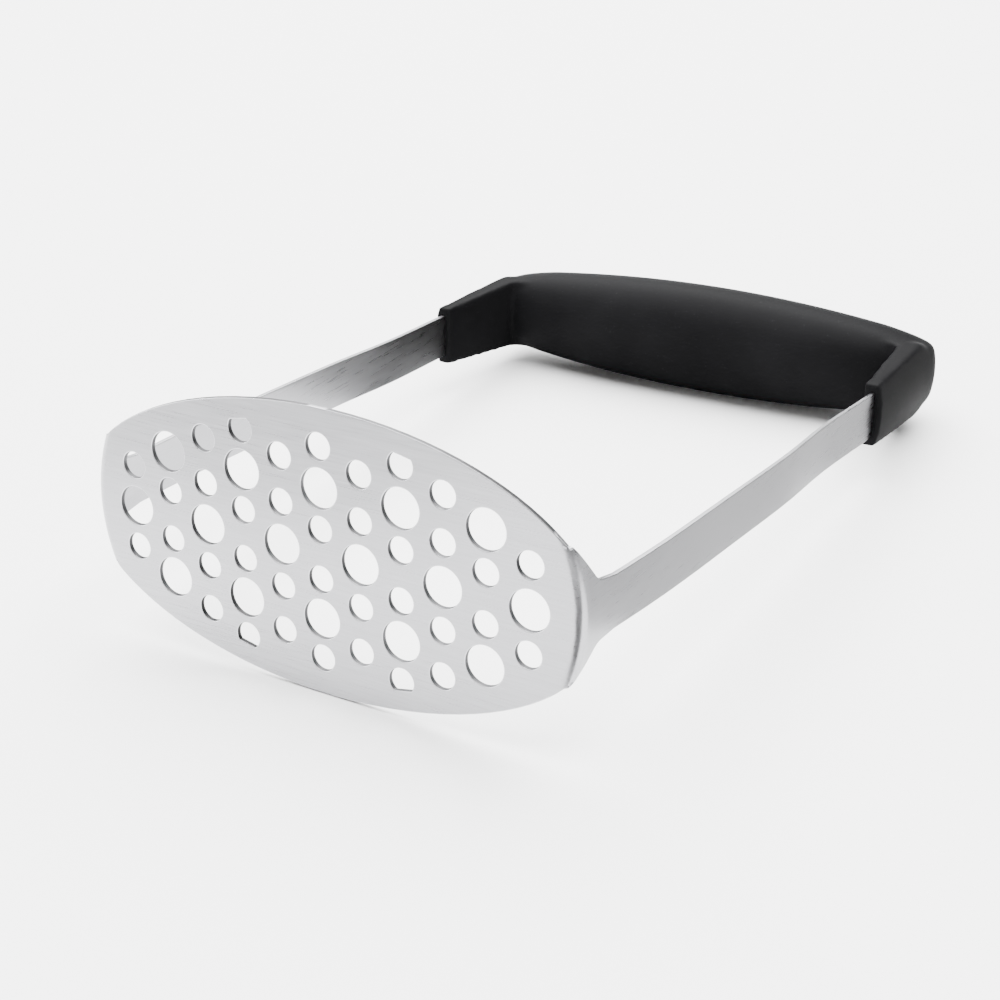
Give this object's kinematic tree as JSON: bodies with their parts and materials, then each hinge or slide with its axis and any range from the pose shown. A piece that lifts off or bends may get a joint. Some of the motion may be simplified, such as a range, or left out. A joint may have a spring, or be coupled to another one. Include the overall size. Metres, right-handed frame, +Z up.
{
  "type": "potato masher",
  "caption": "Rigid potato masher lying on its side: perforated oval steel plate, two strap arms and a wide dark soft grip.",
  "frame": {"origin": "centre of the bounding box in X and Y, on the floor in Z, with the masher lying on its side", "axes": "+X along the handle, +Y from the mashing plate towards the handle, +Z up off the floor the masher lies on"},
  "size_m": [0.136, 0.2054, 0.0644],
  "materials": {
    "stainless_sheet": "fine brushed",
    "rigid_core": "as moulded",
    "soft_rubber": "satin soft touch"
  },
  "bodies": {
    "root": {"masher_blade": "stainless_sheet", "handle_core": "rigid_core", "soft_grip": "soft_rubber"}
  },
  "joints": []
}
